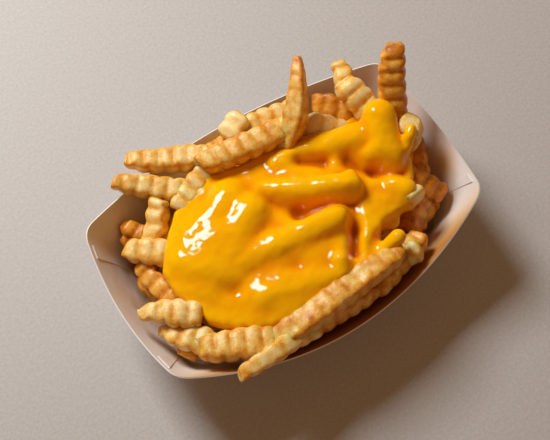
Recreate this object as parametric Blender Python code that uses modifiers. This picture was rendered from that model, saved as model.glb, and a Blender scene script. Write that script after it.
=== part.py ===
"""Cheese fries: a heap of crinkle-cut fries under melted cheese, in a folded paperboard tray.

The origin is the middle of the tray's underside. +X runs along the tray, +Z is up.
Three solids: the tray, the heap of fries as one fused body, and the blanket of cheese.
"""
import math
import random

import bmesh
import bpy
from mathutils import Matrix, Vector

# Tray: half sizes in metres, each at a corner and at the middle of a side
RIM_HALF_LENGTH = 0.086
RIM_HALF_WIDTH = 0.043
RIM_SIDE_BOW = 0.0205
RIM_END_BOW = 0.0053
RIM_CORNER_HEIGHT = 0.050
RIM_SIDE_DIP = 0.0175
RIM_END_DIP = 0.007
BASE_HALF_LENGTH = 0.068
BASE_HALF_WIDTH = 0.028
BASE_SIDE_BOW = 0.013
RIM_CORNER_CUT = 0.006
BASE_CORNER_CUT = 0.009
BOARD = 0.0007
SIDE_STEPS = 14
END_STEPS = 6
CORNER_STEPS = 4
WALL_LEVELS = 4

# Fries
RIDGE_PITCH = 0.0072
RIDGE_DEPTH = 0.0007
FRY_FLATNESS = 0.92
END_TAPER = 0.22
TIP_REACH = 0.6
GAP = 0.0003
# Points at a stick's corners move this many gaps, so that its faces move one gap
GROWTH = 1.9

# Core of the heap: level in metres, then its share of the tray's inside at that level
CORE_BOTTOM = BOARD + GAP
CORE_LEVELS = (
    (CORE_BOTTOM, 0.92), (0.010, 0.92), (0.019, 0.89), (0.027, 0.84),
    (0.034, 0.76), (0.040, 0.64), (0.044, 0.48), (0.046, 0.26),
)
CORE_SEGMENTS = 36
CORE_SQUARENESS = 2.6

# Cheese
CHEESE_VOXEL = 0.0030
CHEESE_THICKNESS = 0.0075
CHEESE_SMOOTHING = 6
CHEESE_THINNING = 0.25

# Fries that show, in millimetres: start, end, width, bow up at the middle,
# roll in degrees, share of the width left at the start
SHOWN_FRIES = (
    ((-50, 64, 49), (-13, 44, 49), 11.5, -2, 0, 0.8),
    ((-61, 58, 49), (-32, 36, 44), 11, -2, 8, 0.8),
    ((-42, 30, 44), (-17, 42, 45), 11, 0, 10, 1),
    ((-22, 41, 53), (31, 34, 53), 13, 1, 5, 0.9),
    ((-2, 50, 45), (10, 55, 47), 12, 0, 0, 1),
    ((8, 51, 42), (38, 46, 42), 12, 0, 20, 1),
    ((43, 56, 74), (18, 25, 46), 10, 4, 20, 0.45),
    ((46, 45, 42), (64, 24, 44), 12, 0, 30, 1),
    ((66, 52, 55), (60, 32, 51), 10, 0, 0, 0.7),
    ((58, 38, 62), (63, 18, 52), 13, 1, 10, 1),
    ((84, 33, 80), (71, 4, 36), 13, 4, 10, 0.9),
    ((79, 1, 57), (66, -3, 34), 12, 0, 0, 1),
    ((50, 14, 31), (80, 21, 38), 12, 0, 15, 1),
    ((48, -4, 30), (78, -10, 31), 12, 0, -10, 1),
    ((34, 34, 50), (52, 19, 42), 10, 0, 35, 1),
    ((61, -31, 47), (45, -24, 34), 11, 0, 0, 1),
    ((36, -46, 46), (-41, -51, 42), 13, 3, 5, 0.8),
    ((-70, -34, 41), (-35, -51, 41), 14, 2, 0, 0.9),
    ((-79, -17, 38), (-60, -37, 39), 12, 1, 0, 0.9),
    ((-84, -4, 42), (-60, -22, 42), 13, 1, 5, 0.7),
    ((-76, -31, 32), (-60, -22, 32), 10, 0, 0, 1),
    ((-61, -57, 49), (-16, -54, 37), 10, 3, 15, 0.9),
    ((51, -43, 36), (17, -53, 34), 11, 0, 20, 1),
    ((18, -52, 33), (-24, -51, 33), 12, 0, 20, 1),
    ((46, -50, 40), (34, -44, 36), 10, 0, 10, 1),
    ((73, -24, 27), (55, -33, 27), 11, 0, 20, 1),
    ((70, -20, 32), (48, -36, 30), 12, 0, 40, 1),
    ((59, -32, 24), (36, -38, 24), 11, 0, 10, 1),
    ((-46, 41, 44), (-61, 26, 36), 11, 0, 20, 1),
    ((-70, 38, 31), (-60, 26, 30), 9, 0, 30, 0.8),
    ((-67, 42, 35), (-60, 30, 30), 9, 0, 0, 0.8),
    ((-73, 28, 39), (-54, 12, 40), 13, 0, 10, 0.8),
    ((-72, 17, 24), (-66, 0, 26), 11, 2, 10, 0.9),
    ((-70, 20, 34), (-66, -8, 33), 10, 1, 20, 1),
    ((62, -12, 42), (74, -28, 31), 12, 0, 15, 1),
    ((79, 10, 42), (68, -18, 37), 12, 0, 20, 1),
    ((24, 52, 34), (-20, 50, 34), 12, 0, 20, 1),
    ((66, 38, 36), (60, 12, 34), 12, 0, 20, 1),
)

# Smaller fries low in the heap, placed by a rule round its foot
FILLER_SEED = 11
FILLER_COUNT = 16
FILLER_LENGTHS = (0.024, 0.042)
FILLER_RISE = (0.014, 0.030)
FILLER_WIDTH = 0.0106
FILLER_REACH = 0.80
FILLER_SWING = 0.5
FILLER_TILT = 0.25
FILLER_ROLL = 25
FILLER_STEP = 0.001

# Fries that lie under the cheese and lift it in ridges, in millimetres: start, end, radius
COATED_FRIES = (
    ((67, 15, 57), (58, -5, 52), 9.5),
    ((52, 16, 51), (20, 21, 50), 9),
    ((26, 20, 50), (2, 27, 48), 8),
    ((34, -9, 53), (-2, 13, 53), 7.5),
    ((26, -17, 48), (-34, -18, 48), 8),
    ((9, -34, 46), (4, -36, 46), 6),
    ((4, -38, 42), (-44, -32, 42), 8),
    ((-20, 25, 44), (-52, 4, 44), 12),
    ((-16, 8, 46), (-46, -12, 44), 13),
    ((50, 4, 46), (58, -18, 42), 8.5),
    ((44, -19, 46), (54, -27, 46), 7),
    ((22, -32, 40), (26, -40, 40), 6),
)
# Middle of the blanket, half length, half width and turn in degrees
CHEESE_PATCHES = (
    ((-26, 0), 40, 38, 8),
    ((20, 6), 42, 30, 0),
    ((52, 0), 20, 28, 0),
    ((-6, -22), 40, 24, -8),
)


def millimetres(place):
    """A place written in millimetres, as a vector in metres."""
    return Vector(place) * 0.001


def clear_scene():
    for existing in list(bpy.data.objects):
        bpy.data.objects.remove(existing, do_unlink=True)


def new_collection(name):
    collection = bpy.data.collections.new(name)
    bpy.context.scene.collection.children.link(collection)
    return collection


def new_object(name, bm, collection):
    mesh = bpy.data.meshes.new(name)
    bm.to_mesh(mesh)
    bm.free()
    made = bpy.data.objects.new(name, mesh)
    collection.objects.link(made)
    return made


def new_material(name, colour, roughness):
    material = bpy.data.materials.new(name)
    material.use_nodes = True
    shader = material.node_tree.nodes["Principled BSDF"]
    shader.inputs["Base Color"].default_value = (*colour, 1.0)
    shader.inputs["Roughness"].default_value = roughness
    shader.inputs["Metallic"].default_value = 0.0
    return material


def apply_modifiers(piece):
    """Put the evaluated mesh in place of the object's own and drop its modifiers."""
    evaluated = piece.evaluated_get(bpy.context.evaluated_depsgraph_get())
    mesh = bpy.data.meshes.new_from_object(evaluated)
    piece.modifiers.clear()
    piece.data = mesh


def panel_outline(half_length, half_width, side_bow, end_bow, corner_height, side_dip, end_dip, cut):
    """Closed outline of four bowed panels whose corners are rounded by a cut."""
    def side(t, sign):
        bulge = 1.0 - t * t
        return Vector((sign * t * half_length, -sign * (half_width + side_bow * bulge),
                       corner_height - side_dip * bulge))

    def end(t, sign):
        bulge = 1.0 - t * t
        return Vector((sign * (half_length + end_bow * bulge), sign * t * half_width,
                       corner_height - end_dip * bulge))

    side_reach = 1.0 - cut / half_length
    end_reach = 1.0 - cut / half_width
    outline = []
    for sign in (1, -1):
        for step in range(SIDE_STEPS + 1):
            outline.append(side(side_reach * (2.0 * step / SIDE_STEPS - 1.0), sign))
        outline += corner(side(side_reach, sign), side(1.0, sign), end(-end_reach, sign))
        for step in range(END_STEPS + 1):
            outline.append(end(end_reach * (2.0 * step / END_STEPS - 1.0), sign))
        outline += corner(end(end_reach, sign), end(1.0, sign), side(-side_reach, -sign))
    return outline


def corner(before, tip, after):
    """Points of the round corner between two panels."""
    points = []
    for step in range(1, CORNER_STEPS):
        t = step / CORNER_STEPS
        points.append(before * (1 - t) ** 2 + tip * (2 * t * (1 - t)) + after * t ** 2)
    return points


def tray_outlines():
    rim = panel_outline(RIM_HALF_LENGTH, RIM_HALF_WIDTH, RIM_SIDE_BOW, RIM_END_BOW,
                        RIM_CORNER_HEIGHT, RIM_SIDE_DIP, RIM_END_DIP, RIM_CORNER_CUT)
    base = panel_outline(BASE_HALF_LENGTH, BASE_HALF_WIDTH, BASE_SIDE_BOW, 0.0,
                         0.0, 0.0, 0.0, BASE_CORNER_CUT)
    return base, rim


def inward(outline, index):
    """Level direction from an outline's point into the outline."""
    along = outline[(index + 1) % len(outline)] - outline[index - 1]
    return Vector((-along.y, along.x, 0.0)).normalized()


def wall_thickness(index):
    """One board on the long sides, two on the end walls, where the side flaps are glued."""
    half = (SIDE_STEPS + 1) + (CORNER_STEPS - 1) + (END_STEPS + 1) + (CORNER_STEPS - 1)
    place = index % half
    return BOARD if place <= SIDE_STEPS + CORNER_STEPS // 2 or place >= half - 1 else 2 * BOARD


def add_ring(bm, points):
    return [bm.verts.new(point) for point in points]


def skin_rings(bm, rings):
    """Quads between each ring and the next, all with the same number of points."""
    for low, high in zip(rings, rings[1:]):
        for index in range(len(low)):
            following = (index + 1) % len(low)
            bm.faces.new((low[index], low[following], high[following], high[index]))


def make_tray(collection):
    """Folded board: a loft from the flat base to the bowed rim, outside and inside."""
    base, rim = tray_outlines()
    bm = bmesh.new()
    outside = []
    inside = []
    for level in range(WALL_LEVELS):
        share = level / (WALL_LEVELS - 1)
        ring = [low.lerp(high, share) for low, high in zip(base, rim)]
        outside.append(add_ring(bm, ring))
        inner = []
        for index, point in enumerate(ring):
            moved = point + inward(ring, index) * wall_thickness(index)
            moved.z = max(moved.z, BOARD)
            inner.append(moved)
        inside.append(add_ring(bm, inner))
    skin_rings(bm, outside + inside[::-1])
    bm.faces.new(outside[0][::-1])
    bm.faces.new(inside[0])
    bmesh.ops.triangulate(bm, faces=[face for face in bm.faces if len(face.verts) > 4])
    bmesh.ops.recalc_face_normals(bm, faces=bm.faces)
    tray = new_object("tray", bm, collection)
    tray.data.shade_smooth()
    tray.data.set_sharp_from_angle(angle=math.radians(30))
    return tray


def tray_inside(height, bearing):
    """Place at a height near the tray's inner wall, towards a bearing."""
    t = math.cos(bearing)
    bulge = 1.0 - t * t
    share = height / (RIM_CORNER_HEIGHT - RIM_SIDE_DIP * bulge)
    half_length = BASE_HALF_LENGTH + (RIM_HALF_LENGTH - BASE_HALF_LENGTH) * share
    base_width = BASE_HALF_WIDTH + BASE_SIDE_BOW * bulge
    rim_width = RIM_HALF_WIDTH + RIM_SIDE_BOW * bulge
    half_width = base_width + (rim_width - base_width) * share
    power = CORE_SQUARENESS
    reach = (abs(t) ** power + abs(math.sin(bearing)) ** power) ** (-1.0 / power)
    return Vector((half_length * t * reach, half_width * math.sin(bearing) * reach, height))


def core_points(height, share):
    points = []
    for step in range(CORE_SEGMENTS):
        point = tray_inside(height, 2.0 * math.pi * step / CORE_SEGMENTS)
        points.append(Vector((point.x * share, point.y * share, height)))
    return points


def make_core(collection):
    """Rounded mound that fills the tray up to where the fries show."""
    bm = bmesh.new()
    rings = [add_ring(bm, core_points(height, share)) for height, share in CORE_LEVELS]
    skin_rings(bm, rings)
    bm.faces.new(rings[0][::-1])
    bm.faces.new(rings[-1])
    bmesh.ops.triangulate(bm, faces=[face for face in bm.faces if len(face.verts) > 4])
    bmesh.ops.recalc_face_normals(bm, faces=bm.faces)
    return new_object("fries", bm, collection)


def turned_along(start, end, roll):
    """Frame whose X runs from start to end and whose Z stays as near upright as it can."""
    along = (end - start).normalized()
    across = Vector((0, 0, 1)).cross(along)
    across = across.normalized() if across.length > 0.1 else Vector((0, 1, 0))
    up = along.cross(across)
    turn = Matrix((along, across, up)).transposed()
    return turn @ Matrix.Rotation(math.radians(roll), 3, "X")


def make_fry(name, start, end, width, bow, roll, tip, collection):
    """Square stick cut across into ridges, thinner at its ends and bowed along its length."""
    length = (end - start).length
    steps = max(4, 2 * round(length / RIDGE_PITCH))
    bm = bmesh.new()
    bmesh.ops.create_cube(bm, size=1.0)
    along = [edge for edge in bm.edges if abs(edge.verts[0].co.x - edge.verts[1].co.x) > 0.5]
    bmesh.ops.subdivide_edges(bm, edges=along, cuts=steps - 1, use_grid_fill=True)
    turn = turned_along(start, end, roll)
    middle = (start + end) / 2
    for vert in bm.verts:
        share = 2.0 * vert.co.x
        ring = round((vert.co.x + 0.5) * steps)
        ridge = RIDGE_DEPTH if ring % 2 else -RIDGE_DEPTH
        taper = tip + (1.0 - tip) * min(1.0, (share + 1.0) / 2 / TIP_REACH)
        half = (width / 2 * taper + ridge) * (1.0 - END_TAPER * abs(share) ** 6)
        point = Vector((share * length / 2, math.copysign(half, vert.co.y),
                        math.copysign(half * FRY_FLATNESS, vert.co.z)))
        vert.co = middle + turn @ point + Vector((0, 0, bow * (1.0 - share * share)))
    return new_object(name, bm, collection)


def shown_fries(collection):
    for number, (start, end, width, bow, roll, tip) in enumerate(SHOWN_FRIES):
        make_fry(f"shown_{number}", millimetres(start), millimetres(end), width * 0.001,
                 bow * 0.001, roll, tip, collection)


def filler_places():
    """Short fries spread evenly round the foot of the heap, each lying against it."""
    draw = random.Random(FILLER_SEED)
    places = []
    for number in range(FILLER_COUNT):
        bearing = 2.0 * math.pi * (number + draw.uniform(-0.3, 0.3)) / FILLER_COUNT
        height = draw.uniform(*FILLER_RISE)
        middle = tray_inside(height, bearing) * FILLER_REACH
        middle.z = height
        heading = bearing + math.pi / 2 + draw.uniform(-FILLER_SWING, FILLER_SWING)
        half = draw.uniform(*FILLER_LENGTHS) / 2
        tilt = draw.uniform(-FILLER_TILT, FILLER_TILT)
        along = Vector((math.cos(heading), math.sin(heading), tilt)) * half
        places.append((middle - along, middle + along, draw.uniform(-FILLER_ROLL, FILLER_ROLL)))
    return places


def inside_tray(point, margin):
    """True where a point keeps a margin to the tray's walls and floor."""
    if point.z < BOARD + margin:
        return False
    bulge = 1.0 - min(1.0, abs(point.x) / RIM_HALF_LENGTH) ** 2
    rim_height = RIM_CORNER_HEIGHT - RIM_SIDE_DIP * bulge
    share = min(1.0, point.z / rim_height)
    half_length = BASE_HALF_LENGTH + (RIM_HALF_LENGTH - BASE_HALF_LENGTH) * share
    side = 1.0 - min(1.0, abs(point.x) / half_length) ** 2
    base_width = BASE_HALF_WIDTH + BASE_SIDE_BOW * side
    half_width = base_width + (RIM_HALF_WIDTH + RIM_SIDE_BOW * side - base_width) * share
    return abs(point.y) < half_width - margin and abs(point.x) < half_length - margin


def filler_fries(collection):
    for number, (start, end, roll) in enumerate(filler_places()):
        shift = Vector((-(start + end).x, -(start + end).y, 0)).normalized() * FILLER_STEP
        while not (inside_tray(start, FILLER_WIDTH) and inside_tray(end, FILLER_WIDTH)):
            start = start + shift
            end = end + shift
        make_fry(f"filler_{number}", start, end, FILLER_WIDTH, 0.0, roll, 1.0, collection)


def make_capsule(name, start, end, radius, collection):
    """Round-ended stick: a sphere whose two halves are drawn apart."""
    bm = bmesh.new()
    bmesh.ops.create_uvsphere(bm, u_segments=16, v_segments=12, radius=radius)
    length = (end - start).length
    turn = turned_along(start, end, 0) @ Matrix.Rotation(math.radians(90), 3, "Y")
    for vert in bm.verts:
        vert.co.z += math.copysign(length / 2, vert.co.z)
        vert.co = (start + end) / 2 + turn @ vert.co
    return new_object(name, bm, collection)


def heap_height(x, y):
    """Height of the bare core's top over a place, read between its levels."""
    bearing = math.atan2(y / RIM_HALF_WIDTH, x / RIM_HALF_LENGTH)
    distance = math.hypot(x, y)
    last = None
    for height, share in reversed(CORE_LEVELS):
        edge = tray_inside(height, bearing)
        reach = math.hypot(edge.x, edge.y) * share
        if distance <= reach:
            if last is None:
                return height
            blend = (distance - last[1]) / (reach - last[1])
            return last[0] + (height - last[0]) * blend
        last = (height, reach)
    return 0.0


def make_patch(name, centre, half_length, half_width, turn, collection):
    """Flat lens of cheese that follows the mound under it."""
    bm = bmesh.new()
    bmesh.ops.create_uvsphere(bm, u_segments=32, v_segments=16, radius=1.0)
    angle = math.radians(turn)
    for vert in bm.verts:
        x = vert.co.x * half_length * 0.001
        y = vert.co.y * half_width * 0.001
        place_x = centre[0] * 0.001 + x * math.cos(angle) - y * math.sin(angle)
        place_y = centre[1] * 0.001 + x * math.sin(angle) + y * math.cos(angle)
        lift = vert.co.z * CHEESE_THICKNESS
        vert.co = Vector((place_x, place_y, heap_height(place_x, place_y) + lift))
    return new_object(name, bm, collection)


def join_objects(pieces):
    """Join mesh objects into the first and drop the others."""
    bm = bmesh.new()
    for piece in pieces:
        bm.from_mesh(piece.data)
    keep = pieces[0]
    bm.to_mesh(keep.data)
    bm.free()
    for piece in pieces[1:]:
        bpy.data.objects.remove(piece, do_unlink=True)
    return keep


def grown_copy(piece, distance, name, collection):
    """Copy of a closed body with every point moved out along its normal."""
    bm = bmesh.new()
    bm.from_mesh(piece.data)
    bm.normal_update()
    moves = [vert.normal * distance for vert in bm.verts]
    for vert, move in zip(bm.verts, moves):
        vert.co += move
    return new_object(name, bm, collection)


def boolean(piece, operation, other=None, collection=None):
    """Apply a Boolean of one object or of a whole collection to a piece."""
    modifier = piece.modifiers.new("boolean", "BOOLEAN")
    modifier.operation = operation
    modifier.solver = "MANIFOLD"
    if collection is None:
        modifier.object = other
    else:
        modifier.operand_type = "COLLECTION"
        modifier.collection = collection
    apply_modifiers(piece)


def keep_largest_body(piece):
    """Drop loose scraps and sealed hollows, and keep the body with the most volume."""
    bm = bmesh.new()
    bm.from_mesh(piece.data)
    unseen = set(bm.faces)
    bodies = []
    while unseen:
        pending = [unseen.pop()]
        body = list(pending)
        while pending:
            for edge in pending.pop().edges:
                for face in edge.link_faces:
                    if face in unseen:
                        unseen.remove(face)
                        pending.append(face)
                        body.append(face)
        bodies.append(body)
    largest = max(bodies, key=len)
    spare = [face for body in bodies if body is not largest for face in body]
    bmesh.ops.delete(bm, geom=spare, context="FACES")
    bmesh.ops.triangulate(bm, faces=bm.faces)
    bm.to_mesh(piece.data)
    bm.free()


def make_cheese(collection, heap):
    """Patches and coated ridges melted together, laid over the heap with a gap."""
    lumps = [make_patch(f"patch_{number}", *patch, collection)
             for number, patch in enumerate(CHEESE_PATCHES)]
    lumps += [make_capsule(f"coat_{number}", millimetres(start), millimetres(end),
                           radius * 0.001, collection)
              for number, (start, end, radius) in enumerate(COATED_FRIES)]
    cheese = join_objects(lumps)
    cheese.name = "cheese_sauce"
    remesh = cheese.modifiers.new("melt", "REMESH")
    remesh.mode = "VOXEL"
    remesh.voxel_size = CHEESE_VOXEL
    smooth = cheese.modifiers.new("settle", "SMOOTH")
    smooth.factor = 0.5
    smooth.iterations = CHEESE_SMOOTHING
    thin = cheese.modifiers.new("thin", "DECIMATE")
    thin.ratio = CHEESE_THINNING
    apply_modifiers(cheese)
    bed = grown_copy(heap, GROWTH * GAP, "bed", collection)
    boolean(cheese, "DIFFERENCE", other=bed)
    bpy.data.objects.remove(bed, do_unlink=True)
    keep_largest_body(cheese)
    return cheese


def fuse_heap(core, loose):
    """Join all the fries to the core."""
    boolean(core, "UNION", collection=loose)
    for fry in list(loose.objects):
        bpy.data.objects.remove(fry, do_unlink=True)
    bpy.data.collections.remove(loose)
    keep_largest_body(core)


def finish(piece, material):
    piece.data.materials.clear()
    piece.data.materials.append(material)


def main():
    clear_scene()
    parts = new_collection("cheese_fries")
    loose = new_collection("loose_fries")
    tray = make_tray(parts)
    heap = make_core(parts)
    shown_fries(loose)
    filler_fries(loose)
    fuse_heap(heap, loose)
    cheese = make_cheese(parts, heap)
    finish(tray, new_material("white_paperboard", (0.78, 0.75, 0.71), 0.75))
    finish(heap, new_material("fried_potato", (0.69, 0.39, 0.10), 0.55))
    finish(cheese, new_material("melted_cheese", (0.86, 0.39, 0.005), 0.22))
    print("triangles", {piece.name: len(piece.data.polygons) for piece in parts.objects})


main()
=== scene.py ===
# %% [markdown]
# # Cheese fries in a folded paperboard tray
# The real thing is a heap of crinkle-cut fries with warm cheese sauce poured over it.
# Three things have to be right. The fries need their ridges and uneven browning, the
# sauce has to hang over them like a thick wet blanket, and the tray has to read as thin
# folded board. The measured frame gives the sizes, and everything is built inside it.

# %% Load the measured frame
import math
import random
from types import SimpleNamespace

import bmesh
import bpy
from mathutils import Matrix, Vector, noise


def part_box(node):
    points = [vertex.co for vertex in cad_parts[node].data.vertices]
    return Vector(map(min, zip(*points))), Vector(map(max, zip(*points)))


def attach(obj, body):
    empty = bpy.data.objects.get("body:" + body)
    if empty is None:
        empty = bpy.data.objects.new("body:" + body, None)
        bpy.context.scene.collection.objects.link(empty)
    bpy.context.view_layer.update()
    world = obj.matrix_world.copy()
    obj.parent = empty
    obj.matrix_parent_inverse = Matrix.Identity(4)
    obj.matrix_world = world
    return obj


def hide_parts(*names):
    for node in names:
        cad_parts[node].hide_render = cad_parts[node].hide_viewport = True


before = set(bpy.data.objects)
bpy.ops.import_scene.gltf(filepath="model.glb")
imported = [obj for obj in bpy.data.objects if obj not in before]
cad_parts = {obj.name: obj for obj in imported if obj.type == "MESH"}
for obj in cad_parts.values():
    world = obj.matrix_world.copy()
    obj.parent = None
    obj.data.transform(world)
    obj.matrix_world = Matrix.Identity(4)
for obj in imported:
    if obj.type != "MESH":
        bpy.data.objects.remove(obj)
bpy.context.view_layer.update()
MM = 0.001
tray_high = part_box("tray")[1]


# %% [markdown]
# Every piece is a mesh in metres, kept at the origin with its place in its points, so that
# patterns read from object coordinates stay put. Two small helpers do this for all pieces.
# One turns a finished bmesh into an object that rides on the part's only body, and one
# bakes an object's modifiers into its mesh where a later step has to read the result.

# %% Helpers for pieces
def mm(place):
    """A place written in millimetres, as a vector in metres."""
    return Vector(place) * MM


def add_piece(name, bm, material, node_name=None):
    """Finished bmesh as an object that rides on the body and may replace a CAD node."""
    mesh = bpy.data.meshes.new(name)
    bm.to_mesh(mesh)
    bm.free()
    mesh.shade_smooth()
    mesh.materials.append(material)
    piece = bpy.data.objects.new(name, mesh)
    bpy.context.scene.collection.objects.link(piece)
    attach(piece, "root")
    if node_name:
        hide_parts(node_name)
    print(name, len(mesh.polygons), "faces")
    return piece


def bake_modifiers(piece):
    """Put what a piece's modifiers make into its mesh."""
    evaluated = piece.evaluated_get(bpy.context.evaluated_depsgraph_get())
    mesh = bpy.data.meshes.new_from_object(evaluated)
    piece.modifiers.clear()
    old = piece.data
    piece.data = mesh
    bpy.data.meshes.remove(old)


# %% [markdown]
# Colours are picked as they look on a screen, as hex values, while shaders work in linear
# light. One function converts them. Another adds a node, sets it and links its inputs, and
# a few built on it do what every material needs, such as noise of a real size in
# millimetres, so that each material below reads as a short recipe.

# %% Helpers for colours and nodes
def hex_colour(code):
    """Linear colour of an sRGB hex code such as '#E3C07F'."""
    channels = [int(code[i:i + 2], 16) / 255 for i in (1, 3, 5)]
    linear = [c / 12.92 if c <= 0.04045 else ((c + 0.055) / 1.055) ** 2.4 for c in channels]
    return (*linear, 1.0)


def add_node(tree, kind, inputs=None, **settings):
    """New node with its settings. An input that is another node's output gets linked."""
    made = tree.nodes.new(kind)
    for name, value in settings.items():
        setattr(made, name, value)
    for socket, value in (inputs or {}).items():
        if isinstance(value, bpy.types.NodeSocket):
            tree.links.new(value, made.inputs[socket])
        else:
            made.inputs[socket].default_value = value
    return made


def ramp_between(tree, factor, stops):
    """Colour ramp through (position, hex) stops."""
    made = add_node(tree, "ShaderNodeValToRGB", {"Fac": factor})
    points = made.color_ramp.elements
    while len(points) < len(stops):
        points.new(0.5)
    for point, (position, code) in zip(points, stops):
        point.position = position
        point.color = hex_colour(code)
    return made.outputs["Color"]


def start_material(name):
    """New material with its tree, its shader and the object coordinates in metres."""
    material = bpy.data.materials.new(name)
    material.use_nodes = True
    tree = material.node_tree
    shader = tree.nodes["Principled BSDF"]
    place = add_node(tree, "ShaderNodeTexCoord").outputs["Object"]
    return material, tree, shader, place


def noise_of_size(tree, place, size_mm, detail=3.0, roughness=0.5):
    """Noise whose blobs are about size_mm across."""
    made = add_node(tree, "ShaderNodeTexNoise", {
        "Vector": place, "Scale": 1.0 / (size_mm * MM), "Detail": detail, "Roughness": roughness})
    return made.outputs["Fac"]


def remap(tree, value, low, high, to_low=0.0, to_high=1.0):
    """Value taken from between low and high to between to_low and to_high."""
    made = add_node(tree, "ShaderNodeMapRange", {
        "Value": value, "From Min": low, "From Max": high, "To Min": to_low, "To Max": to_high})
    return made.outputs["Result"]


def combine(tree, operation, first, second, clamp=False):
    """Sum, product or maximum of two values."""
    made = add_node(tree, "ShaderNodeMath", {0: first, 1: second}, operation=operation,
                    use_clamp=clamp)
    return made.outputs[0]


def add_bump(tree, shader, height, strength, distance_mm):
    """Relief that the light sees, with its full height in millimetres."""
    made = add_node(tree, "ShaderNodeBump", {
        "Height": height, "Strength": strength, "Distance": distance_mm * MM})
    tree.links.new(made.outputs["Normal"], shader.inputs["Normal"])


print("yellow of the sauce in linear light", [round(c, 2) for c in hex_colour("#FFB800")])


# %% [markdown]
# ## Fried potato
# A crinkle-cut fry is pale on its ridges, and its crust browns along the cut edges and at
# the tips. Its grooves are painted darker than its ridges, which is painted shade. A shader
# can't know where those are, so the fries carry an attribute painted while they are
# modelled: red is browning together with the painted groove shade, and green is how dark
# the whole fry is. Noise of a few millimetres mottles it and finer noise flecks it, as fat
# and sugar brown a real crust unevenly. A bump of quarter-millimetre blisters makes the crust
# catch the light in small glints, and some light passes into the pale flesh, which gives the
# eye a soft warm edge instead of a hard plastic one.

# %% Fried potato crust
def fried_potato(name, pale="#F6DC98"):
    material, tree, shader, place = start_material(name)
    # Red of the crust attribute is browning together with painted shade in the grooves.
    paint = add_node(tree, "ShaderNodeAttribute", attribute_name="crust")
    split = add_node(tree, "ShaderNodeSeparateColor", {"Color": paint.outputs["Color"]})
    mottle = noise_of_size(tree, place, 3.2, 4.0, 0.6)
    fleck = noise_of_size(tree, place, 0.8, 3.0, 0.6)
    browned_and_groove_shaded = combine(tree, "ADD", split.outputs["Red"], split.outputs["Green"])
    browned_and_groove_shaded = combine(tree, "ADD", browned_and_groove_shaded, remap(tree, mottle, 0.3, 0.7, -0.13, 0.15))
    browned_and_groove_shaded = combine(tree, "ADD", browned_and_groove_shaded, remap(tree, fleck, 0.3, 0.75, -0.06, 0.09),
                      clamp=True)
    colour = ramp_between(tree, browned_and_groove_shaded, (
        (0.0, pale), (0.22, "#EEBB55"), (0.45, "#DF921C"), (0.70, "#BC6C0A"), (1.0, "#7A3C04")))
    tree.links.new(colour, shader.inputs["Base Color"])
    blister = noise_of_size(tree, place, 1.1, 5.0, 0.65)
    grain = noise_of_size(tree, place, 0.35, 2.0, 0.5)
    add_bump(tree, shader, combine(tree, "ADD", blister, grain), 0.4, 0.25)
    gloss = remap(tree, mottle, 0.3, 0.7, 0.26, 0.46)
    tree.links.new(gloss, shader.inputs["Roughness"])
    shader.inputs["Subsurface Weight"].default_value = 0.45
    shader.inputs["Subsurface Radius"].default_value = (1.0, 0.40, 0.10)
    shader.inputs["Subsurface Scale"].default_value = 0.004
    shader.inputs["IOR"].default_value = 1.45
    return material


crust = fried_potato("fried_potato_crust")
print("made", crust.name)


# %% [markdown]
# ## Cheese sauce
# Processed cheese sauce is a smooth emulsion: wet, glossy and faintly translucent. Thick
# parts are a clear yellow, and where folds meet the light bounces between two yellow
# walls and turns orange. Part of that comes from the renderer, and the rest is painted
# shade: a valley_shade attribute measured on the finished surface turns the folds a darker
# orange. A slow bump a few millimetres wide breaks the reflections into the small white
# shapes that wet sauce shows.

# %% Wet cheese sauce
def wet_cheese():
    material, tree, shader, place = start_material("wet_cheese_sauce")
    # The valley_shade attribute is painted shade that turns the folds a darker orange; the drift
    # is real tone that differs at random.
    paint = add_node(tree, "ShaderNodeAttribute", attribute_name="valley_shade")
    drift = noise_of_size(tree, place, 14.0, 2.0, 0.5)
    depth = combine(tree, "ADD", paint.outputs["Fac"],
                    remap(tree, drift, 0.3, 0.7, -0.10, 0.10), clamp=True)
    colour = ramp_between(tree, depth, (
        (0.0, "#FFB800"), (0.30, "#FBAA00"), (0.60, "#F09000"), (1.0, "#C86400")))
    tree.links.new(colour, shader.inputs["Base Color"])
    ripple = noise_of_size(tree, place, 8.0, 1.5, 0.40)
    bubble = noise_of_size(tree, place, 2.4, 1.0, 0.4)
    height = combine(tree, "ADD", ripple, combine(tree, "MULTIPLY", bubble, 0.03))
    add_bump(tree, shader, height, 0.62, 1.9)
    shader.inputs["Roughness"].default_value = 0.07
    shader.inputs["IOR"].default_value = 1.38
    shader.inputs["Subsurface Weight"].default_value = 0.12
    shader.inputs["Subsurface Radius"].default_value = (1.0, 0.45, 0.05)
    shader.inputs["Subsurface Scale"].default_value = 0.003
    return material


cheese_skin = wet_cheese()
print("made", cheese_skin.name)


# %% [markdown]
# ## Paperboard
# Food trays are die-cut from white clay-coated board and folded. The coating is matt with a
# very fine fibre grain. Frying fat soaks in from the food and leaves warm tan patches low on
# the inside. The patches are noise that fades out towards the rim. The near side, where the
# fries lie against the wall, is painted orange-brown: partly a fat stain and partly painted
# shade and reflected colour of the fries. A patch on the right end wall is a painted
# reflection of the fries. The outside has the same board with none of these in it.

# %% Clay-coated paperboard
# Middle of the painted reflection of the fries on the right end wall, in metres.
PAINTED_REFLECTION_PLACE = (0.0825, -0.0150, 0.0345)


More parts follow.
